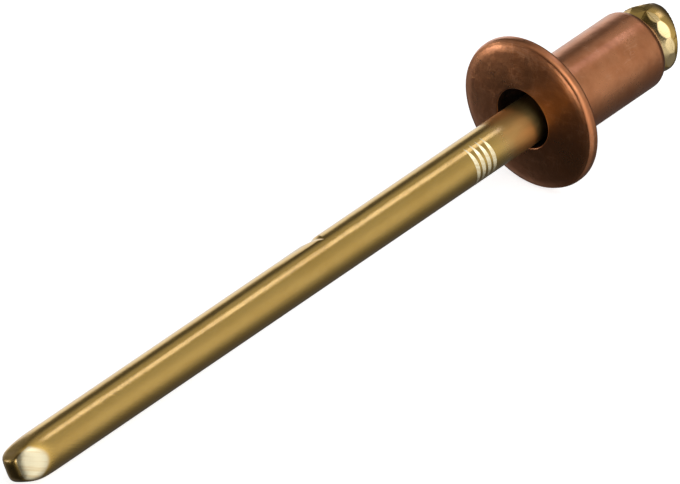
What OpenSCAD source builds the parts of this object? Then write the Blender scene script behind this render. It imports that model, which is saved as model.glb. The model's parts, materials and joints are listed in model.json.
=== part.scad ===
// Blind (pop) rivet as it comes out of the box: a copper rivet body with its brass-coloured
// mandrel still through it. It lies as it comes to rest, on the edge of its flange and on the
// end of its mandrel, with the floor at z = 0.
//
// Each piece is drawn standing: the flange's seat is at z = 0, the mandrel's tip points up, and
// +X is the side that faces up once the rivet lies down. lie_down() then lays it on the floor.

/* [Rivet body] */
// Diameter of the tube that goes through the sheets
body_d = 3.2; // [2.8:0.1:4]
// Length of the tube under the flange
body_len = 5.9; // [4:0.1:14]
// Diameter of the bore that the mandrel runs through
bore_d = 1.92; // [1.76:0.02:2]
// Radius of the tube's outer corner at the tail
tail_round = 0.45; // [0.1:0.05:0.5]

/* [Flange] */
// Diameter of the flange
flange_d = 6.2; // [5.2:0.1:7.5]
// Thickness of the flange at its rim
rim_h = 0.48; // [0.4:0.02:0.6]
// Height of the flange at its mouth
crown_h = 0.75; // [0.64:0.01:1]
// Radius of the rim's upper edge
rim_round = 0.18; // [0.08:0.01:0.22]
// Radius of the rim's lower edge
seat_round = 0.12; // [0.02:0.01:0.16]
// Radius of the fillet between the flange and the tube
root_fillet = 0.15; // [0.04:0.01:0.2]
// How far the heading punch set the flange and its mouth off the tube's centre line
flange_offset = 0.25; // [0:0.05:0.3]

/* [Mouth of the flange] */
// Diameter of the mouth that the mandrel comes out of
mouth_d = 2.44; // [2.2:0.02:2.6]
// Depth of the mouth's straight wall
mouth_depth = 0.45; // [0.2:0.05:0.6]
// Radius of the mouth's lip
lip_round = 0.07; // [0.03:0.01:0.1]

/* [Mandrel] */
// Diameter of the mandrel
mandrel_d = 1.75; // [1.6:0.01:1.78]
// How far the mandrel stands out of the flange
mandrel_out = 28.85; // [24:0.05:36]

/* [Tip] */
// Width of the tip's end between its first two pinched faces
tip_width = 1.0; // [0.6:0.02:1.1]
// Angle of the first two faces to the centre line
tip_angle = 21; // [15:1:40]
// Width of the tip's end between its other two faces
tip_height = 0.72; // [0.4:0.02:1]
// Angle of the other two faces to the centre line
tip_height_angle = 28; // [15:1:40]
// Turn of the first face about the centre line, from the side that faces up
tip_turn = 24; // [0:1:89]
// How far the pinch sits off the centre line, towards the second and third faces
tip_shift = 0.05; // [0:0.01:0.1]

/* [Break neck] */
// Diameter left where the mandrel breaks
neck_d = 1.0; // [0.8:0.05:1.3]
// Length of the break neck
neck_len = 0.5; // [0.3:0.05:0.8]
// Distance from the middle of the break neck to the mandrel's head
neck_gap = 0.6; // [0.5:0.05:1]

/* [Mandrel head] */
// Diameter of the mandrel's head
head_d = 2.74; // [2.5:0.02:2.9]
// Length of the mandrel's head beyond the tail
head_len = 1.4; // [1.2:0.01:1.6]
// Half angle of the cone that stops the head on the edge of the bore
cone_angle = 41; // [40:1:55]
// Number of flats that the dies leave between the cone and the head's side
flat_count = 12; // [8:1:16]
// Angle of the flats to the centre line
flat_angle = 25; // [20:1:35]
// Length of a flat along the centre line, in its middle
flat_len = 0.28; // [0.1:0.02:0.36]
// Turn of the first flat about the centre line, from the side that faces up
flat_turn = -48; // [-180:1:180]
// Radius of the head's end edge
head_round = 0.4; // [0.15:0.05:0.5]
// Slant of the cut that took the head's end off the wire
head_slant = 19; // [0:1:20]
// Depth of that cut on the centre line
slant_depth = 0.21; // [0.1:0.01:0.3]
// Side on which that cut is deepest, about the centre line
slant_side = -113; // [-180:1:180]
// Angle of the shear mark on the head's end edge, to the centre line
shear_angle = 25; // [20:1:35]
// Distance from the centre line to the shear mark, at the head's end
shear_out = 0.99; // [0.95:0.01:1.2]
// Side that the shear mark is on, about the centre line
shear_side = 38; // [-180:1:180]

/* [Grip marks] */
// Number of grip marks on each side of the mandrel
grip_count = 4; // [1:1:6]
// Distance from one grip mark to the next
grip_pitch = 0.31; // [0.28:0.01:0.4]
// Width of a grip mark at its deepest place
grip_w = 0.19; // [0.1:0.01:0.27]
// Share of that width that slopes towards the tip
grip_share = 0.8; // [0.5:0.05:0.9]
// Depth of a grip mark at its deepest place
grip_depth = 0.05; // [0.03:0.01:0.1]
// Half of the arc that a grip mark covers
grip_reach = 62; // [40:1:80]
// Side that faces the first row of grip marks, about the centre line
grip_side = -75; // [-180:1:180]
// Distance from the flange's crown to the middle of the grip marks
grip_out = 3.08; // [1.5:0.02:8]

/* [Hidden] */
$fn = 96;

body_r = body_d / 2;
bore_r = bore_d / 2;
flange_r = flange_d / 2;
mouth_r = mouth_d / 2;
mandrel_r = mandrel_d / 2;
head_r = head_d / 2;

over = 1;          // how far a cutter runs past what it cuts

// The tip's four pinched faces, all around: how far each turns, its distance from the centre
// line at the tip's end, and its angle
face_turns = [for (i = [0 : 3]) tip_turn + 90 * i];
face_halves = [
    tip_width / 2 - tip_shift,
    tip_height / 2 + tip_shift,
    tip_width / 2 + tip_shift,
    tip_height / 2 - tip_shift
];
face_angles = [tip_angle, tip_height_angle, tip_angle, tip_height_angle];

// The flange's face is a shallow dome, a ball that passes through the rim and the mouth's lip
dome_drop = crown_h - rim_h;
dome_r = (pow(flange_r, 2) - pow(mouth_r, 2) + pow(dome_drop, 2)) / (2 * dome_drop);
dome_z = rim_h - sqrt(pow(dome_r, 2) - pow(flange_r, 2));

// The rim's upper edge is a round that touches both the dome and the rim's side
rim_x = flange_r - rim_round;
rim_z = dome_z + sqrt(pow(dome_r - rim_round, 2) - pow(rim_x, 2));
rim_meet = rim_x * dome_r / (dome_r - rim_round);

tip_z = crown_h + mandrel_out;
grip_z = crown_h + grip_out;
tail_z = -body_len;
cone_end_z = tail_z - (head_r - bore_r) / tan(cone_angle);
cone_top_z = cone_end_z + (head_r - mandrel_r) / tan(cone_angle);
flat_end_z = cone_end_z - flat_len * (1 - tan(flat_angle) / tan(cone_angle));
neck_z = cone_top_z + neck_gap;
head_z = tail_z - head_len;

// How the rivet rests. The mandrel's lowest line ends where the first of the pinched faces cuts
// it, and the flange stands on the round of its rim, which its offset brings nearer the tube.
face_starts = [
    for (i = [0 : 3])
        tip_z - (mandrel_r * cos(180 - face_turns[i]) - face_halves[i]) / tan(face_angles[i])
];
tip_rest_z = min(face_starts);
rest_run = tip_rest_z - rim_z;
rest_rise = rim_x - flange_offset - mandrel_r;
rest_angle = atan2(rest_rise, rest_run) + asin(rim_round / norm([rest_rise, rest_run]));

// The seat's centre stands this high, and the whole part is centred along X, between the upper
// corner of the tip's end and the farthest point of the head's end
rest_height = mandrel_r * cos(rest_angle) + tip_rest_z * sin(rest_angle);
tip_rise = face_halves[0] * cos(tip_turn) + face_halves[3] * sin(tip_turn);
tip_far = tip_z * cos(rest_angle) + tip_rise * sin(rest_angle);
end_r = head_r - head_round;
end_fars = [
    for (turn = [0 : 5 : 355])
        let (slant_z = slant_depth + end_r * cos(turn - slant_side) * tan(head_slant))
            (head_z + max(0, slant_z)) * cos(rest_angle) + end_r * cos(turn) * sin(rest_angle)
];
end_far = min(end_fars);
rest_shift = (tip_far + end_far) / 2;

// Lays a standing piece on the floor, tip towards -X
module lie_down() {
    translate([rest_shift, 0, rest_height])
        rotate([0, -90 - rest_angle, 0])
            children();
}

// Rounds off the lower outer corner of an outline, where its side x meets its bottom z
module round_corner(x, z, r) {
    difference() {
        translate([x - r, z - over]) square([r + over, r + over]);
        translate([x - r, z + r]) circle(r = r);
    }
}

// Outline of the flange, from its centre line outwards
module flange_outline() {
    difference() {
        union() {
            intersection() {
                translate([0, dome_z]) circle(r = dome_r, $fn = 360);
                square([rim_meet, crown_h * 2]);
            }
            translate([rim_x, rim_z]) circle(r = rim_round);
            square([flange_r, rim_z]);
        }
        round_corner(flange_r, 0, seat_round);
    }
}

// Outline of the tube, with its rounded tail and the fillet under the flange
module tube_outline() {
    difference() {
        union() {
            translate([0, tail_z]) square([body_r, body_len + rim_h / 2]);
            translate([0, -root_fillet]) square([body_r + root_fillet, root_fillet + rim_h / 2]);
        }
        round_corner(body_r, tail_z, tail_round);
        translate([body_r + root_fillet, -root_fillet]) circle(r = root_fillet);
    }
}

// Mouth of the flange: a lip, a straight wall, then a funnel down to the bore
module mouth_cutter() {
    wall_top = crown_h - lip_round;
    wall_end = crown_h - mouth_depth;
    funnel_r = bore_r - flange_offset;
    translate([flange_offset, 0, 0])
        rotate_extrude()
            difference() {
                polygon([
                    [0, wall_end - (mouth_r - funnel_r)],
                    [funnel_r, wall_end - (mouth_r - funnel_r)],
                    [mouth_r, wall_end],
                    [mouth_r, wall_top],
                    [mouth_r + lip_round, wall_top],
                    [mouth_r + lip_round, crown_h + over],
                    [0, crown_h + over]
                ]);
                translate([mouth_r + lip_round, wall_top]) circle(r = lip_round);
            }
}

// Rivet body: tube and flange headed from one piece of copper
module rivet_body() {
    color("#a8643c")
        lie_down()
            difference() {
                union() {
                    rotate_extrude() tube_outline();
                    translate([flange_offset, 0, 0]) rotate_extrude() flange_outline();
                }
                mouth_cutter();
                translate([0, 0, tail_z - over])
                    cylinder(r = bore_r, h = body_len + crown_h + 2 * over);
            }
}

// Outline of the mandrel: pin, break neck, cone and head
module mandrel_outline() {
    difference() {
        polygon([
            [0, tip_z],
            [mandrel_r, tip_z],
            [mandrel_r, neck_z + neck_len / 2],
            [neck_d / 2, neck_z],
            [mandrel_r, neck_z - neck_len / 2],
            [mandrel_r, cone_top_z],
            [head_r, cone_end_z],
            [head_r, head_z],
            [0, head_z]
        ]);
        round_corner(head_r, head_z, head_round);
    }
}

// Cuts one pinched face of the tip
module tip_face_cutter(turn, half, angle) {
    size = mandrel_d * 3;
    rotate([0, 0, turn])
        translate([half, 0, tip_z])
            rotate([0, -angle, 0])
                translate([0, -size / 2, -size])
                    cube([size, size, size * 2]);
}

// Presses one grip mark into the side of +X: a ring with a sharp inner edge, set off centre, so
// that the mark is deepest in its middle and runs out at its ends
module grip_cutter() {
    shift = grip_depth / (1 - cos(grip_reach));
    edge_r = mandrel_r + shift * cos(grip_reach);
    ring_h = mandrel_r / 2;
    spread = ring_h * grip_w / grip_depth;
    translate([-shift, 0, grip_w * (grip_share - 1 / 2)])
        rotate_extrude()
            polygon([
                [edge_r, 0],
                [edge_r + ring_h, spread * (1 - grip_share)],
                [edge_r + ring_h, -spread * grip_share]
            ]);
}

// Cuts one flat into the corner between the head's cone and its side
module flat_cutter(turn) {
    rotate([0, 0, turn])
        translate([head_r, 0, flat_end_z])
            rotate([0, -flat_angle, 0])
                translate([0, -head_r, -head_r / 2])
                    cube([head_r, head_d, head_r]);
}

// Cuts the head's end on a slant, leaving its full length on the far side
module slant_cutter() {
    rotate([0, 0, slant_side])
        translate([0, 0, head_z + slant_depth])
            rotate([0, -head_slant, 0])
                translate([-head_d, -head_d, -head_len])
                    cube([head_d * 2, head_d * 2, head_len]);
}

// Takes the shear mark off the head's end edge
module shear_cutter() {
    rotate([0, 0, shear_side])
        translate([shear_out, 0, head_z])
            rotate([0, shear_angle, 0])
                translate([0, -head_d, -head_d])
                    cube([head_d, head_d * 2, head_d * 2]);
}

// Mandrel: the wire that is pulled to set the rivet, with its head upset at one end
module mandrel() {
    color("#b0904e")
        lie_down()
            difference() {
                rotate_extrude() mandrel_outline();
                for (i = [0 : 3])
                    tip_face_cutter(face_turns[i], face_halves[i], face_angles[i]);
                for (half = [0, 180], i = [0 : grip_count - 1])
                    translate([0, 0, grip_z + (i - (grip_count - 1) / 2) * grip_pitch])
                        rotate([0, 0, grip_side + half]) grip_cutter();
                for (i = [0 : flat_count - 1])
                    flat_cutter(flat_turn + 360 * i / flat_count);
                slant_cutter();
                shear_cutter();
            }
}

rivet_body();
mandrel();
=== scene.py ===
import json
import math

import bmesh
import bpy
from mathutils import Euler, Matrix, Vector


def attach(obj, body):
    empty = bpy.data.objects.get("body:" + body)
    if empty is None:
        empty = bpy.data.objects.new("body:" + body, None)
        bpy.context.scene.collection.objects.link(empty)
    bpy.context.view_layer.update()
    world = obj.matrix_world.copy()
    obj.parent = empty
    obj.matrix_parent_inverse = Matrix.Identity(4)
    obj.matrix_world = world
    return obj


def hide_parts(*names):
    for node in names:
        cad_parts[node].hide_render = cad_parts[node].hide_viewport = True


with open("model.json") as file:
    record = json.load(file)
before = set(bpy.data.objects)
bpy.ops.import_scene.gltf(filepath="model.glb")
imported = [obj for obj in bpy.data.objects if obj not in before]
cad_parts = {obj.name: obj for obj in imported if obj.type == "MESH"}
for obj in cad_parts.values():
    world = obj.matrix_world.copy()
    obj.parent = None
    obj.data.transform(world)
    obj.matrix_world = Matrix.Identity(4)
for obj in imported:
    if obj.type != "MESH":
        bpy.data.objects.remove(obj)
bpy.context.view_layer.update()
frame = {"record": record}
bpy.ops.object.select_all(action="DESELECT")

# ---------------------------------------------------------------- Camera
# A long lens from far off, looking down on the rivet from its tip's side, so that the mandrel
# comes towards the lens on the left and the flange shows its face.
VIEW_TURN = math.radians(49.35)
VIEW_DROP = math.radians(30.31)
PICTURE_WIDTH = 0.02516
AIM = Vector((0.0001865, 0.0002226, 0.0021681))
LENS_MM = 1200
SENSOR_MM = 36

looking = Vector((
    math.sin(VIEW_TURN) * math.cos(VIEW_DROP),
    math.cos(VIEW_TURN) * math.cos(VIEW_DROP),
    -math.sin(VIEW_DROP),
))
camera_data = bpy.data.cameras.new("camera")
camera_data.sensor_width = SENSOR_MM
camera_data.lens = LENS_MM
camera_data.clip_end = 10
camera = bpy.data.objects.new("camera", camera_data)
bpy.context.scene.collection.objects.link(camera)
camera.location = AIM - looking * (PICTURE_WIDTH * LENS_MM / SENSOR_MM)
camera.rotation_euler = looking.to_track_quat("-Z", "Y").to_euler()
bpy.context.scene.camera = camera

# ---------------------------------------------------------------- How the rivet lies
# Both pieces are modelled standing, in millimetres: the flange's seat is at height 0, the tip
# points up, and +X is the side that faces up once the rivet lies. lay_down() then puts a
# piece where the frame has it, in metres.
MM = 0.001
mounts = {m["name"]: m for m in frame["record"]["mounts"]}
tip_way = Vector(mounts["shank"]["axis"]).normalized()
tube_middle = Vector(mounts["tube"]["pos_m"])
seat_rise = (Vector(mounts["seat"]["pos_m"]) - tube_middle).dot(tip_way)
SEAT_CENTRE = tube_middle + tip_way * seat_rise
LYING = Euler((0, -math.pi / 2 + math.asin(tip_way.z), 0))


def lay_down(piece):
    """Moves a standing piece to its place in the frame, and leaves its object at the origin."""
    piece.location = SEAT_CENTRE
    piece.rotation_euler = LYING
    piece.scale = (MM, MM, MM)
    bpy.ops.object.select_all(action="DESELECT")
    bpy.context.view_layer.objects.active = piece
    piece.select_set(True)
    bpy.ops.object.transform_apply(location=True, rotation=True, scale=True)


# ---------------------------------------------------------------- Rivet body
# A tube of soft copper with one end headed into a thin domed flange. The punch that heads it
# leaves the flange and its mouth a little off the tube's centre line. It is left as headed,
# with a thin clear lacquer, some darker patches and light scuffs.
SEGMENTS = 192
DOME_STEPS = 26

BODY_R = 1.6
BODY_LEN = 5.9
BORE_R = 0.96
TAIL_ROUND = 0.45
FLANGE_R = 3.1
FLANGE_OFF = 0.25
RIM_H = 0.48
RIM_ROUND = 0.18
SEAT_ROUND = 0.12
CORNER_ROUND = 0.15
CROWN_H = 0.75
EDGE_WIDTH = 0.45
EDGE_DROP = 0.06
MOUTH_R = 1.22
MOUTH_DEPTH = 0.45
MOUTH_ROUND = 0.07
FUNNEL_LOW = CROWN_H - MOUTH_DEPTH - (MOUTH_R - BORE_R + FLANGE_OFF)
# How far under the crown the bore's painted shade begins
BORE_SHADE_FROM_CROWN = 0.035

FRESH_COPPER = (0.70, 0.285, 0.125, 1)
DULL_COPPER = (0.56, 0.20, 0.075, 1)
SCUFFED_COPPER = (0.86, 0.50, 0.30, 1)
# Painted shade for the crease under the flange and for the tail's end
PAINTED_SHADE_COPPER = (0.10, 0.04, 0.015, 1)
# Painted shade for the inside of the bore, patchy and near black
BORE_SHADE_COPPER = (0.05, 0.02, 0.01, 1)
BORE_SHADE_BLACK = (0.012, 0.007, 0.005, 1)
COPPER_ROUGHNESS = 0.28
BORE_ROUGHNESS = 0.5

DOME_DROP = CROWN_H - RIM_H
DOME_R = (FLANGE_R ** 2 - MOUTH_R ** 2 + DOME_DROP ** 2) / (2 * DOME_DROP)
DOME_Z = RIM_H - math.sqrt(DOME_R ** 2 - FLANGE_R ** 2)


def dome_height(radius):
    """The flange's face: a dome that turns down a little more along its edge."""
    into_edge = max(0, radius - FLANGE_R + EDGE_WIDTH) / EDGE_WIDTH
    return DOME_Z + math.sqrt(DOME_R ** 2 - radius ** 2) - EDGE_DROP * into_edge ** 2


class Lathe:
    """An open tube of rings, drawn out ring by ring from one end."""

    def __init__(self, name, height, radius, off=0.0):
        bpy.ops.mesh.primitive_circle_add(
            vertices=SEGMENTS, radius=radius, location=(off, 0, height), fill_type="NOTHING"
        )
        self.piece = bpy.context.object
        self.piece.name = name
        bpy.ops.object.transform_apply(location=True, rotation=True, scale=True)
        bpy.ops.object.mode_set(mode="EDIT")
        bpy.ops.mesh.select_all(action="SELECT")
        self.height, self.radius, self.off = height, radius, off

    def ring(self, height, radius, off=None):
        off = self.off if off is None else off
        step = (off - self.off, 0, height - self.height)
        bpy.ops.mesh.extrude_edges_move(TRANSFORM_OT_translate={"value": step})
        grow = radius / self.radius
        bpy.ops.transform.resize(value=(grow, grow, 1), center_override=(off, 0, height))
        self.height, self.radius, self.off = height, radius, off

    def rings(self, points):
        for point in points:
            self.ring(*point)


def faces_outward():
    """Merges doubles and turns every face of the piece in edit mode outwards."""
    bpy.ops.mesh.select_all(action="SELECT")
    bpy.ops.mesh.remove_doubles(threshold=0.0005)
    bpy.ops.mesh.normals_make_consistent(inside=False)
    bpy.ops.mesh.select_all(action="DESELECT")


def pick(piece, kind, wanted):
    """Selects the edges or faces of the piece in edit mode for which wanted(element) is true."""
    bpy.ops.mesh.select_mode(type=kind)
    bpy.ops.mesh.select_all(action="DESELECT")
    mesh = bmesh.from_edit_mesh(piece.data)
    for element in (mesh.edges if kind == "EDGE" else mesh.faces):
        element.select = wanted(element)
    mesh.select_flush_mode()
    bmesh.update_edit_mesh(piece.data)


def pick_ring(piece, height, radius, off=0.0, play=0.004):
    """Selects the edges of one ring, by their place."""
    pick(piece, "EDGE", lambda edge: all(
        abs(v.co.z - height) < play
        and abs(math.hypot(v.co.x - off, v.co.y) - radius) < play
        for v in edge.verts
    ))


def round_ring(piece, height, radius, off, width, steps):
    """Rounds off one ring of edges."""
    pick_ring(piece, height, radius, off)
    bpy.ops.mesh.bevel(offset=width, segments=steps, profile=0.5, offset_type="OFFSET")
    bpy.ops.mesh.select_all(action="DESELECT")


body_lathe = Lathe("copper_rivet_body", -BODY_LEN, BORE_R)
body = body_lathe.piece
body_lathe.rings([
    (FUNNEL_LOW, BORE_R, 0),
    (CROWN_H - MOUTH_DEPTH, MOUTH_R, FLANGE_OFF),
    (CROWN_H, MOUTH_R, FLANGE_OFF),
])
for step in range(1, DOME_STEPS + 1):
    radius = MOUTH_R + (FLANGE_R - MOUTH_R) * step / DOME_STEPS
    body_lathe.ring(dome_height(radius), radius)
body_lathe.rings([
    (0, FLANGE_R, FLANGE_OFF),
    (0, BODY_R, 0),
    (-BODY_LEN * 0.35, BODY_R, 0),
    (-BODY_LEN * 0.65, BODY_R, 0),
    (-BODY_LEN, BODY_R, 0),
    (-BODY_LEN, BORE_R, 0),
])
faces_outward()
round_ring(body, RIM_H - EDGE_DROP, FLANGE_R, FLANGE_OFF, RIM_ROUND, 10)
round_ring(body, 0, FLANGE_R, FLANGE_OFF, SEAT_ROUND, 6)
round_ring(body, CROWN_H, MOUTH_R, FLANGE_OFF, MOUTH_ROUND, 5)
round_ring(body, 0, BODY_R, 0, CORNER_ROUND, 6)
round_ring(body, -BODY_LEN, BODY_R, 0, TAIL_ROUND, 10)


def inside_the_bore(face):
    middle = face.calc_center_median()
    across = math.hypot(middle.x - FLANGE_OFF * (middle.z > FUNNEL_LOW), middle.y)
    return across < MOUTH_R + 0.01 and -BODY_LEN < middle.z < CROWN_H - BORE_SHADE_FROM_CROWN


# The bore's inside gets a material of painted shade
pick(body, "FACE", inside_the_bore)
copper = bpy.data.materials.new("satin_copper")
painted_shade_bore = bpy.data.materials.new("painted_shade_bore")
body.data.materials.clear()
body.data.materials.append(copper)
body.data.materials.append(painted_shade_bore)
body.active_material_index = 1
bpy.ops.object.material_slot_assign()
bpy.ops.object.mode_set(mode="OBJECT")
bpy.ops.object.shade_smooth_by_angle(angle=math.radians(28))
lay_down(body)
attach(body, "root")
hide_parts("rivet_body")


class Nodes:
    """Shorthand for the nodes of one tree."""

    def __init__(self, tree):
        self.tree = tree

    def add(self, kind, values=None, **settings):
        node = self.tree.nodes.new("ShaderNode" + kind)
        for name, value in settings.items():
            setattr(node, name, value)
        for name, value in (values or {}).items():
            if isinstance(value, bpy.types.NodeSocket):
                self.tree.links.new(value, node.inputs[name])
            else:
                node.inputs[name].default_value = value
        return node

    def math(self, operation, a, b=0.0):
        return self.add("Math", {0: a, 1: b}, operation=operation).outputs[0]

    def total(self, start, *parts):
        """A starting value plus each part's value times its weight."""
        for value, weight in parts:
            start = self.math("ADD", start, self.math("MULTIPLY", value, weight))
        return start

    def spread(self, value, low, high, to_low=0.0, to_high=1.0):
        """Stretches low..high of a value to to_low..to_high, with soft ends."""
        return self.add("MapRange", {
            "Value": value, "From Min": low, "From Max": high, "To Min": to_low, "To Max": to_high,
        }, interpolation_type="SMOOTHSTEP").outputs[0]

    def noise(self, vector, scale, detail=2.0, roughness=0.5):
        return self.add("TexNoise", {
            "Vector": vector, "Scale": scale, "Detail": detail, "Roughness": roughness,
        }).outputs["Fac"]

    def dot(self, a, b):
        return self.add("VectorMath", {0: a, 1: b}, operation="DOT_PRODUCT").outputs["Value"]

    def stretch(self, vector, scale, turn=(0, 0, 0)):
        return self.add("Mapping", {"Vector": vector, "Scale": scale, "Rotation": turn}).outputs[0]

    def blend(self, factor, a, b):
        node = self.add("Mix", data_type="RGBA")
        for name, value in (("Factor", factor), ("A", a), ("B", b)):
            socket = [s for s in node.inputs if s.name == name and s.enabled][0]
            if isinstance(value, bpy.types.NodeSocket):
                self.tree.links.new(value, socket)
            else:
                socket.default_value = value
        return [s for s in node.outputs if s.enabled][0]


def effect(name, inputs, outputs):
    """A node group with these sockets, its input node and its output node."""
    group = bpy.data.node_groups.new(name, "ShaderNodeTree")
    kinds = {"vector": "NodeSocketVector", "colour": "NodeSocketColor", "value": "NodeSocketFloat"}
    for socket, kind in inputs:
        group.interface.new_socket(socket, in_out="INPUT", socket_type=kinds[kind])
    for socket, kind in outputs:
        group.interface.new_socket(socket, in_out="OUTPUT", socket_type=kinds[kind])
    n = Nodes(group)
    return n, group.nodes.new("NodeGroupInput").outputs, group.nodes.new("NodeGroupOutput").inputs


# Cloud tone: the colour wanders between a fresh and a dull one, in clouds of a given size; it is
# tarnish on the copper and the brass, and patchy painted shade inside the bore
n, given, result = effect(
    "cloud_tone",
    [("Vector", "vector"), ("Size", "value"), ("Fresh", "colour"), ("Dull", "colour"),
     ("Amount", "value")],
    [("Colour", "colour"), ("Dullness", "value")],
)
finer = n.math("DIVIDE", 1.0, given["Size"])
cloud = n.noise(given["Vector"], finer, 4.0, 0.6)
dullness = n.math("MULTIPLY", n.spread(cloud, 0.35, 0.68), given["Amount"])
colour = n.blend(dullness, given["Fresh"], given["Dull"])
n.tree.links.new(colour, result["Colour"])
n.tree.links.new(dullness, result["Dullness"])

# Scuffs: short thin scratches in two directions, which come in groups
n, given, result = effect(
    "scuffs",
    [("Vector", "vector"), ("Fineness", "value"), ("Amount", "value")],
    [("Mask", "value"), ("Height", "value")],
)
scratches = []
for turn, stretched in (((0.9, 0.3, 0.5), (1, 0.12, 0.5)), ((0.4, 1.2, -0.7), (0.5, 1, 0.1))):
    along = n.stretch(given["Vector"], stretched, turn)
    ridge = n.noise(along, given["Fineness"], 3.0, 0.55)
    off_middle = n.math("ABSOLUTE", n.math("SUBTRACT", ridge, 0.5))
    scratches.append(n.spread(off_middle, 0.0, 0.02, 1.0, 0.0))
both = n.math("MAXIMUM", scratches[0], scratches[1])
groups = n.spread(n.noise(given["Vector"], 1.1, 2.0), 0.5, 0.62)
mask = n.math("MULTIPLY", n.math("MULTIPLY", both, groups), given["Amount"])
n.tree.links.new(mask, result["Mask"])
n.tree.links.new(n.math("MULTIPLY", mask, -1.0), result["Height"])


def standing_coordinates(n):
    """The point of the surface in millimetres, as if the rivet still stood on its seat."""
    turn_back = Euler((0, -LYING.y, 0))
    shift = -(turn_back.to_matrix() @ SEAT_CENTRE) / MM
    return n.add("Mapping", {
        "Vector": n.add("TexCoord").outputs["Object"],
        "Location": shift,
        "Rotation": turn_back,
        "Scale": (1 / MM, 1 / MM, 1 / MM),
    }).outputs[0]


def start_metal(material):
    """Gives a material's nodes, its shader and the coordinates that its textures use."""
    material.use_nodes = True
    n = Nodes(material.node_tree)
    shader = material.node_tree.nodes["Principled BSDF"]
    return n, shader, standing_coordinates(n)


def place(n, group, values):
    """Puts one of the shared effects in a tree, and gives its outputs."""
    node = n.tree.nodes.new("ShaderNodeGroup")
    node.node_tree = bpy.data.node_groups[group]
    for name, value in values.items():
        if isinstance(value, bpy.types.NodeSocket):
            n.tree.links.new(value, node.inputs[name])
        else:
            node.inputs[name].default_value = value
    return node.outputs


# Copper: satin, brown-red, a little patchy
n, shader, point = start_metal(copper)
cloud_tone = place(n, "cloud_tone", {
    "Vector": point, "Size": 1.1, "Amount": 0.8, "Fresh": FRESH_COPPER, "Dull": DULL_COPPER,
})
scuffs = place(n, "scuffs", {"Vector": point, "Fineness": 3.2, "Amount": 0.6})
grain = n.noise(point, 14.0, 3.0, 0.6)
rough = n.total(
    COPPER_ROUGHNESS,
    (cloud_tone["Dullness"], 0.07),
    (scuffs["Mask"], 0.12),
    (n.math("SUBTRACT", grain, 0.5), 0.1),
)
pale = n.blend(n.math("MULTIPLY", scuffs["Mask"], 0.35), cloud_tone["Colour"], SCUFFED_COPPER)
along = n.add("SeparateXYZ", {0: point}).outputs["Z"]
# Painted shade: darker in the crease at the flange's root and towards the tail's end
root_shade = n.math("MULTIPLY", n.spread(along, -0.24, -0.1), n.spread(along, 0.0, 0.08, 0.6, 0.0))
tail_shade = n.spread(along, -BODY_LEN + 0.12, -BODY_LEN + 0.5, 0.3, 0.0)
with_painted_shade = n.blend(n.math("ADD", root_shade, tail_shade), pale, PAINTED_SHADE_COPPER)
height = n.total(n.noise(point, 2.4, 3.0), (grain, 0.12), (scuffs["Height"], 0.15))
bump = n.add("Bump", {"Strength": 0.35, "Distance": 0.00004, "Height": height})
n.tree.links.new(with_painted_shade, shader.inputs["Base Color"])
n.tree.links.new(rough, shader.inputs["Roughness"])
n.tree.links.new(bump.outputs[0], shader.inputs["Normal"])
shader.inputs["Metallic"].default_value = 1
shader.inputs["Coat Weight"].default_value = 0.25
shader.inputs["Coat Roughness"].default_value = 0.16
shader.inputs["Coat IOR"].default_value = 1.5

# Inside of the bore: painted shade, near black, in patches
n, shader, point = start_metal(painted_shade_bore)
bore_shade = place(n, "cloud_tone", {
    "Vector": point, "Size": 0.3, "Amount": 1.0, "Fresh": BORE_SHADE_COPPER, "Dull": BORE_SHADE_BLACK,
})
rough = n.total(BORE_ROUGHNESS, (bore_shade["Dullness"], 0.25))
n.tree.links.new(bore_shade["Colour"], shader.inputs["Base Color"])
n.tree.links.new(rough, shader.inputs["Roughness"])
shader.inputs["Metallic"].default_value = 0.5

# ---------------------------------------------------------------- Mandrel
# A drawn wire of a bright brass colour. Its tip is pinched off from four sides, its head is
# upset in a split die and cut off on a slant, and a feeder's jaws have gripped it near the
# flange.
MANDREL_R = 0.875
MANDREL_OUT = 28.85
NECK_R = 0.5
NECK_HALF = 0.25
HEAD_R = 1.37
HEAD_LEN = 1.4
HEAD_ROUND = 0.4
HEAD_CURVE = 0.56
HEAD_STEPS = 20
TIP_Z = CROWN_H + MANDREL_OUT
CONE_SLOPE = math.tan(math.radians(41))
CONE_END_Z = -BODY_LEN - (HEAD_R - BORE_R) / CONE_SLOPE
CONE_TOP_Z = CONE_END_Z + (HEAD_R - MANDREL_R) / CONE_SLOPE
NECK_Z = CONE_TOP_Z + 0.6
HEAD_Z = -BODY_LEN - HEAD_LEN

FRESH_BRASS = (0.74, 0.475, 0.115, 1)
DULL_BRASS = (0.66, 0.40, 0.08, 1)
# Painted highlight for the pressed faces, and the slip lines across it
HIGHLIGHT_PAINTED_BRASS = (0.86, 0.76, 0.50, 1)
SLIPPED_BRASS = (0.74, 0.56, 0.28, 1)
# Painted tone for the flange's reflection on the wire by the mouth
PAINTED_MOUTH_BRASS = (0.72, 0.55, 0.26, 1)
# Painted shade for the two cut ends
PAINTED_SHADE_BRASS = (0.26, 0.16, 0.05, 1)
BRASS_ROUGHNESS = 0.17

# The tip is turned as a round dome first, in rings around its middle, and pinched below
TIP_MIDDLE = TIP_Z - 1.6
TIP_RINGS = 64
dome_angles = [math.radians(90 * i / TIP_RINGS) for i in range(1, TIP_RINGS + 1)]

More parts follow.
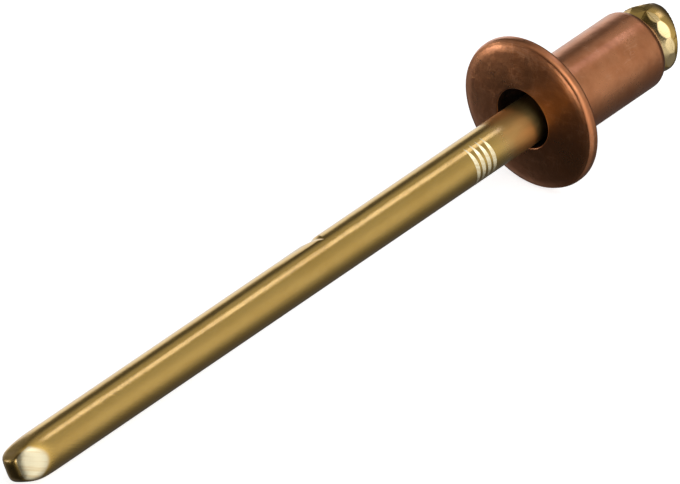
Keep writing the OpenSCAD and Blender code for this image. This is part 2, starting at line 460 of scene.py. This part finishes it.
mandrel_lathe = Lathe("drawn_mandrel", TIP_MIDDLE + MANDREL_R * math.cos(dome_angles[0]),
                      MANDREL_R * math.sin(dome_angles[0]))
mandrel = mandrel_lathe.piece
mandrel_lathe.rings([
    (TIP_MIDDLE + MANDREL_R * math.cos(angle), MANDREL_R * math.sin(angle))
    for angle in dome_angles[1:]
])
mandrel_lathe.rings([
    (TIP_MIDDLE - 0.5, MANDREL_R),
    (CROWN_H + 14, MANDREL_R),
    (CROWN_H + 4.6, MANDREL_R),
    (CROWN_H + 1.6, MANDREL_R),
    (NECK_Z + NECK_HALF, MANDREL_R),
    (NECK_Z, NECK_R),
    (NECK_Z - NECK_HALF, MANDREL_R),
    (CONE_TOP_Z, MANDREL_R),
    (CONE_END_Z, HEAD_R),
])
end_angles = [math.radians(90 * i / HEAD_STEPS) for i in range(HEAD_STEPS + 1)]
mandrel_lathe.rings([
    (HEAD_Z + HEAD_CURVE * (1 - math.sin(angle)), HEAD_R - HEAD_ROUND * (1 - math.cos(angle)))
    for angle in end_angles
])
for height, radius in (
    (TIP_MIDDLE + MANDREL_R * math.cos(dome_angles[0]), MANDREL_R * math.sin(dome_angles[0])),
    (HEAD_Z, HEAD_R - HEAD_ROUND),
):
    pick_ring(mandrel, height, radius)
    bpy.ops.mesh.edge_face_add()
faces_outward()


def side_way(turn):
    turn = math.radians(turn)
    return Vector((math.cos(turn), math.sin(turn), 0))


def slice_off(point, normal, reach=None):
    """Cuts the piece in edit mode with a plane, drops what is outside and closes the cut. The
    cut takes in only what is below the height of reach, if that is given."""
    if reach is None:
        bpy.ops.mesh.select_all(action="SELECT")
    else:
        pick(mandrel, "FACE", lambda face: all(v.co.z < reach for v in face.verts))
    bpy.ops.mesh.bisect(
        plane_co=point, plane_no=normal, use_fill=True, clear_outer=True, threshold=1e-5
    )


# The tip's four pinched faces: each one's distance from the centre line at the end, its angle
# and its turn. Soft metal gives at the edges, so the dome is pressed in to where the faces, the
# end and the wire's side meet, with each meeting rounded by SOFTNESS.
TIP_FACES = ((0.52, 21, 24), (0.52, 27, 114), (0.51, 21, 204), (0.33, 28, 294))
SOFTNESS = 11
presses = [(Vector((0, 0, 1)), TIP_Z - TIP_MIDDLE)]
for half, lean, turn in TIP_FACES:
    lean = math.radians(lean)
    way = side_way(turn) * math.cos(lean) + Vector((0, 0, math.sin(lean)))
    presses.append((way, half * math.cos(lean) + (TIP_Z - TIP_MIDDLE) * math.sin(lean)))

mesh = bmesh.from_edit_mesh(mandrel.data)
middle = Vector((0, 0, TIP_MIDDLE))
for v in mesh.verts:
    if v.co.z < TIP_MIDDLE - 0.001:
        continue
    way = (v.co - middle).normalized()
    nearness = (math.hypot(way.x, way.y) / MANDREL_R) ** SOFTNESS
    for press, distance in presses:
        nearness += (max(0, way.dot(press)) / distance) ** SOFTNESS
    v.co = middle + way * nearness ** (-1 / SOFTNESS)
bmesh.update_edit_mesh(mandrel.data)

# The flats that the dies leave round the head's shoulder, no two quite alike: how far each is
# off its even place in degrees, how much deeper it is, and how far it leans in degrees
FLAT_TURN = -48
FLAT_LEN = 0.28
FLAT_LEAN = 25
FLAT_EDGE = 0.035
FLATS = (
    (0, 0.020, 25), (-3, -0.006, 25), (3, 0.012, 23), (-3, 0.0, 27), (0, 0.016, 25),
    (2, 0.005, 26), (-2, 0.014, 24), (1, 0.002, 26), (3, 0.012, 25), (-2, 0.008, 27),
    (3, 0.012, 24), (1, -0.004, 27),
)
flat_end_z = CONE_END_Z - FLAT_LEN * (1 - math.tan(math.radians(FLAT_LEAN)) / CONE_SLOPE)
flat_ways = []
for i, (astray, deeper, lean) in enumerate(FLATS):
    outward = side_way(FLAT_TURN + 360 * i / len(FLATS) + astray)
    lean = math.radians(lean)
    way = outward * math.cos(lean) + Vector((0, 0, math.sin(lean)))
    slice_off(
        outward * (HEAD_R - deeper) + Vector((0, 0, flat_end_z)), way, CONE_TOP_Z + 0.001
    )
    flat_ways.append(way)


def on_a_flat(face):
    return any(face.normal.dot(way) > 0.99995 for way in flat_ways)


pick(mandrel, "EDGE", lambda edge: (
    len(edge.link_faces) == 2
    and any(on_a_flat(face) for face in edge.link_faces)
    and edge.calc_face_angle(0) > math.radians(5)
))
bpy.ops.mesh.bevel(offset=FLAT_EDGE, segments=3, profile=0.5, offset_type="OFFSET")

# The head's end: a slanted cut took it off the wire, and the shear left a mark on its edge
SLANT_SIDE = -113
SLANT = math.radians(19)
SLANT_DEPTH = 0.21
SLANT_EDGE = 0.04
SHEAR_SIDE = 38
SHEAR = math.radians(25)
SHEAR_OUT = 0.99
SHEAR_EDGE = 0.07
end_cuts = (
    (
        Vector((0, 0, HEAD_Z + SLANT_DEPTH)),
        side_way(SLANT_SIDE) * math.sin(SLANT) - Vector((0, 0, math.cos(SLANT))),
        SLANT_EDGE,
    ),
    (
        side_way(SHEAR_SIDE) * SHEAR_OUT + Vector((0, 0, HEAD_Z)),
        side_way(SHEAR_SIDE) * math.cos(SHEAR) - Vector((0, 0, math.sin(SHEAR))),
        SHEAR_EDGE,
    ),
)
for point, way, softened in end_cuts:
    slice_off(point, way)
    pick(mandrel, "EDGE", lambda edge: (
        len(edge.link_faces) == 2
        and sum(face.normal.dot(way) > 0.9999 for face in edge.link_faces) == 1
    ))
    bpy.ops.mesh.bevel(offset=softened, segments=3, profile=0.5, offset_type="OFFSET")
bpy.ops.object.mode_set(mode="OBJECT")


def press_mark(height, side, reach, depth, width, share):
    """Presses a mark across the mandrel with a ring whose sharp inner edge is set off centre. The
    mark is deepest in its middle and runs out reach degrees to either side; share is the part of
    its width that slopes towards the tip."""
    shift = depth / (1 - math.cos(math.radians(reach)))
    edge_r = MANDREL_R + shift * math.cos(math.radians(reach))
    ring_h = depth * 1.5
    spread = ring_h * width / depth
    lathe = Lathe("mark_ring", 0, edge_r)
    lathe.rings([
        (spread * (1 - share), edge_r + ring_h),
        (-spread * share, edge_r + ring_h),
        (0, edge_r),
    ])
    faces_outward()
    bpy.ops.object.mode_set(mode="OBJECT")
    ring = lathe.piece
    ring.location = side_way(side) * -shift + Vector((0, 0, height + width * (share - 0.5)))
    cut = mandrel.modifiers.new("cut", "BOOLEAN")
    cut.operation = "DIFFERENCE"
    cut.solver = "EXACT"
    cut.object = ring
    bpy.context.view_layer.objects.active = mandrel
    bpy.ops.object.modifier_apply(modifier="cut")
    bpy.data.objects.remove(ring)


# Four grip marks from each of two jaws, and one nick
GRIP_Z = CROWN_H + 3.08
GRIP_PITCH = 0.31
GRIP_SIDES = (-75, 105)
NICK_Z = CROWN_H + 11.55
NICK_SIDE = 44
for jaw in GRIP_SIDES:
    for i in range(4):
        height = GRIP_Z + (i - 1.5) * GRIP_PITCH
        press_mark(height, jaw, reach=62, depth=0.05, width=0.19, share=0.8)
press_mark(NICK_Z, NICK_SIDE, reach=38, depth=0.08, width=0.85, share=0.25)

bpy.ops.object.mode_set(mode="EDIT")
faces_outward()
bpy.ops.object.mode_set(mode="OBJECT")
bpy.ops.object.select_all(action="DESELECT")
mandrel.select_set(True)
bpy.ops.object.shade_smooth_by_angle(angle=math.radians(12))
drawn_brass = bpy.data.materials.new("drawn_brass")
mandrel.data.materials.clear()
mandrel.data.materials.append(drawn_brass)
lay_down(mandrel)
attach(mandrel, "root")
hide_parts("mandrel")

# Drawn brass: bright, with fine lines along the wire
n, shader, point = start_metal(drawn_brass)
cloud_tone = place(n, "cloud_tone", {
    "Vector": n.stretch(point, (1, 1, 0.35)), "Size": 0.8, "Amount": 0.6,
    "Fresh": FRESH_BRASS, "Dull": DULL_BRASS,
})
scuffs = place(n, "scuffs", {"Vector": point, "Fineness": 4.0, "Amount": 0.5})
lines = n.noise(n.stretch(point, (1, 1, 0.02)), 16.0, 4.0, 0.65)

# Painted highlight: faces that turn to the tip on the two main jaws' sides, where the jaws
# pressed, are painted pale, with fine lines across where the jaws slipped
JAW_SIDE = -70
PRESS_SLIP = 28


def standing_way(way):
    """A direction of the standing rivet, as it points once the rivet lies."""
    return LYING.to_matrix() @ Vector(way)


def facing(way):
    """How far the surface faces a direction of the standing rivet, from -1 to 1."""
    normal = n.add("TexCoord").outputs["Normal"]
    return n.dot(normal, standing_way(way))


towards_tip = n.spread(facing((0, 0, 1)), 0.12, 0.26)
facing_jaw_side = n.spread(n.math("ABSOLUTE", facing(side_way(JAW_SIDE))), 0.45, 0.7)
up_wire = n.add("SeparateXYZ", {0: point}).outputs["Z"]
less_on_head = n.spread(up_wire, -5, 1, 0.45, 1.0)
painted_highlight = n.math("MULTIPLY", n.math("MULTIPLY", towards_tip, facing_jaw_side), less_on_head)
slip = math.radians(PRESS_SLIP)
across_slip = Vector((0, 0, math.sin(slip))) - side_way(JAW_SIDE + 90) * math.cos(slip)
along_slips = n.add("CombineXYZ", {
    "X": n.dot(point, across_slip),
    "Y": n.math("MULTIPLY", up_wire, 0.06),
}).outputs[0]
slips = n.noise(along_slips, 9.0, 3.0, 0.6)
slip_lines_in_highlight = n.math("MULTIPLY", painted_highlight, n.spread(slips, 0.45, 0.62, 0.0, 0.6))

# Under the mouth's edge the wire is roughened and its colour greyed: a painted tone for the
# flange's reflection there
by_mouth = n.spread(up_wire, CROWN_H + 0.9, CROWN_H + 2.6, 1.0, 0.0)
painted_by_mouth = n.math("MULTIPLY", by_mouth, n.spread(up_wire, -3.0, -1.0))
# Both cut ends are roughened and painted dark, as painted shade
tip_end_shade = n.spread(up_wire, TIP_Z - 0.5, TIP_Z - 0.2, 0.0, 0.65)
head_end_shade = n.spread(up_wire, HEAD_Z + 0.42, HEAD_Z + 0.7, 0.85, 0.0)
pinched = n.spread(up_wire, TIP_Z - 1.7, TIP_Z - 0.9)
uneven = n.noise(n.stretch(point, (1, 1, 0.5)), 2.6, 4.0, 0.6)

# Painted shade on the cut ends, then the painted highlight, its slip lines and the painted tone by
# the mouth
colour = n.blend(tip_end_shade, cloud_tone["Colour"], PAINTED_SHADE_BRASS)
colour = n.blend(painted_highlight, colour, HIGHLIGHT_PAINTED_BRASS)
colour = n.blend(slip_lines_in_highlight, colour, SLIPPED_BRASS)
colour = n.blend(n.math("MULTIPLY", painted_by_mouth, 0.5), colour, PAINTED_MOUTH_BRASS)
colour = n.blend(head_end_shade, colour, PAINTED_SHADE_BRASS)
rough = n.total(
    BRASS_ROUGHNESS,
    (cloud_tone["Dullness"], 0.06),
    (n.math("SUBTRACT", lines, 0.5), 0.12),
    (painted_highlight, 0.08),
    (painted_by_mouth, 0.2),
    (pinched, 0.12),
    (head_end_shade, 0.15),
    (n.math("SUBTRACT", uneven, 0.5), 0.1),
)
slips_on_tip = n.math("MULTIPLY", slips, n.spread(up_wire, 20, 24))
height = n.total(
    0.0, (lines, 0.5), (scuffs["Height"], 0.2), (uneven, 1.6), (slips_on_tip, 1.2)
)
bump = n.add("Bump", {"Strength": 0.25, "Distance": 0.00002, "Height": height})
n.tree.links.new(colour, shader.inputs["Base Color"])
n.tree.links.new(rough, shader.inputs["Roughness"])
n.tree.links.new(bump.outputs[0], shader.inputs["Normal"])
shader.inputs["Metallic"].default_value = 1
shader.inputs["Coat Weight"].default_value = 0.5
shader.inputs["Coat Roughness"].default_value = 0.12
shader.inputs["Coat IOR"].default_value = 1.6

# ---------------------------------------------------------------- Studio
# A pale floor and a white room. What the metal sees is a studio's surroundings: a lit backdrop
# low down behind, shade to the left behind it, a soft pale front, a few windows, and two lamps.
FLOOR_HEIGHT = -0.00001
bpy.ops.mesh.primitive_plane_add(size=6, location=(0, 0, FLOOR_HEIGHT))
floor = bpy.context.object
floor.name = "floor"
floor.visible_glossy = False
floor_paint = bpy.data.materials.new("floor_paint")
floor_paint.use_nodes = True
floor_paint.node_tree.nodes.clear()
n = Nodes(floor_paint.node_tree)
diffuse = n.add("BsdfDiffuse", {"Color": (0.8, 0.8, 0.8, 1)})
glow = n.add("Emission", {"Color": (1, 1, 1, 1), "Strength": 0.8})
lit = n.add("AddShader", {0: diffuse.outputs[0], 1: glow.outputs[0]})
seen = n.add("MixShader", {
    0: n.add("LightPath").outputs["Is Camera Ray"], 1: diffuse.outputs[0], 2: lit.outputs[0],
})
n.add("OutputMaterial", {"Surface": seen.outputs[0]})
floor.data.materials.append(floor_paint)

world = bpy.data.worlds.new("room")
bpy.context.scene.world = world
world.use_nodes = True
world.node_tree.nodes.clear()
n = Nodes(world.node_tree)
room_way = n.add("TexCoord").outputs["Generated"]
across, depth, rise = n.add("SeparateXYZ", {0: room_way}).outputs


def grey(level):
    return (level, level, level, 1)


def by_height(stops):
    """Brightness by height above the horizon, as stops of (height, brightness)."""
    ramp = n.add("ValToRGB", {"Fac": n.total(0.5, (rise, 0.5))})
    while len(ramp.color_ramp.elements) < len(stops):
        ramp.color_ramp.elements.new(0.5)
    for element, (height, level) in zip(ramp.color_ramp.elements, stops):
        element.position = (height + 1) / 2
        element.color = grey(level)
    return ramp.outputs["Color"]


def spot(way_to, inner, outer):
    """1 within inner degrees of a direction, 0 beyond outer degrees."""
    nearness = n.dot(room_way, Vector(way_to).normalized())
    return n.spread(nearness, math.cos(math.radians(outer)), math.cos(math.radians(inner)))


# The walls, where +Y is the far side and -X is past the rivet's tip
front_right = by_height([
    (-0.75, 0.09), (-0.6, 0.13), (-0.47, 0.19), (-0.33, 0.29), (-0.18, 0.44), (-0.04, 0.56),
    (0.1, 0.63), (0.35, 0.62), (0.55, 0.50), (0.70, 0.44), (0.82, 0.42),
])
front_left = by_height([
    (-0.8, 0.2), (-0.5, 0.7), (-0.1, 0.85), (0.3, 0.95), (0.6, 1.2), (0.9, 1.1),
])
left_shade = by_height([(-0.8, 0.05), (-0.3, 0.06), (0.1, 0.12), (0.6, 0.2), (0.95, 0.5)])
behind = by_height([
    (-0.65, 0.05), (-0.5, 0.1), (-0.42, 0.45), (-0.3, 0.9), (0.0, 1.0), (0.2, 1.0), (0.26, 0.85),
    (0.32, 0.42), (0.38, 0.14), (0.6, 0.07), (0.8, 0.08),
])
behind = n.blend(n.spread(across, -0.1, 0.3), grey(0.3), behind)
left = n.blend(n.spread(depth, -0.35, 0.1), front_left, left_shade)
high_left = n.math("MULTIPLY", n.spread(across, -0.48, -0.36, 1.0, 0.0), n.spread(rise, 0.1, 0.32))
left = n.blend(high_left, left, grey(0.05))
left = n.blend(n.spread(across, -0.64, -0.54), grey(0.05), left)
front = n.blend(n.spread(across, 0.28, 0.5), left, front_right)
around = n.blend(n.spread(depth, 0.3, 0.6), front, behind)
around = n.blend(n.spread(across, 0.72, 0.84), around, grey(0.08))

# Dark things and small windows: direction, the degrees to the full part's edge and to the
# outermost edge, and brightness
SPOTS = (
    ((0.33, 0.90, 0.26), 8, 16, 0.12),
    ((-0.62, 0.48, -0.62), 14, 32, 0.02),
    ((-0.58, 0.75, -0.22), 2, 8, 4.0),
    ((-0.93, -0.08, 0.05), 7, 14, 3.6),
    ((-0.12, -0.66, 0.75), 9, 18, 2.2),
)
for way_to, inner, outer, level in SPOTS:
    around = n.blend(spot(way_to, inner, outer), around, grey(level))
room = n.add("Background", {"Color": around})
white = n.add("Background", {"Color": (1, 1, 1, 1), "Strength": 1.0})
seen = n.add("MixShader", {
    0: n.add("LightPath").outputs["Is Camera Ray"], 1: room.outputs[0], 2: white.outputs[0],
})
n.add("OutputWorld", {"Surface": seen.outputs[0]})


LAMP_DISTANCE = 0.8
COOL_WHITE = (0.98, 1.0, 1.5)
WHITE = (1, 1, 1)


def soft_lamp(name, way, width, height, brightness, colour):
    """A soft box that faces the rivet from a direction. Its face has the brightness given."""
    data = bpy.data.lights.new(name, "AREA")
    data.shape = "RECTANGLE"
    data.size, data.size_y = width, height
    data.color = colour
    data.energy = brightness * math.pi * width * height
    lamp = bpy.data.objects.new(name, data)
    way = Vector(way).normalized()
    lamp.location = way * LAMP_DISTANCE
    lamp.rotation_euler = (-way).to_track_quat("-Z", "Y").to_euler()
    bpy.context.scene.collection.objects.link(lamp)


soft_lamp("overhead_strip", (0.565, -0.02, 0.825), 0.22, 0.10, 1.2, COOL_WHITE)
soft_lamp("front_left_box", (-0.25, -0.95, 0.1), 0.45, 0.5, 0.5, WHITE)

# ---------------------------------------------------------------- Colour view
bpy.context.scene.view_settings.view_transform = "Standard"
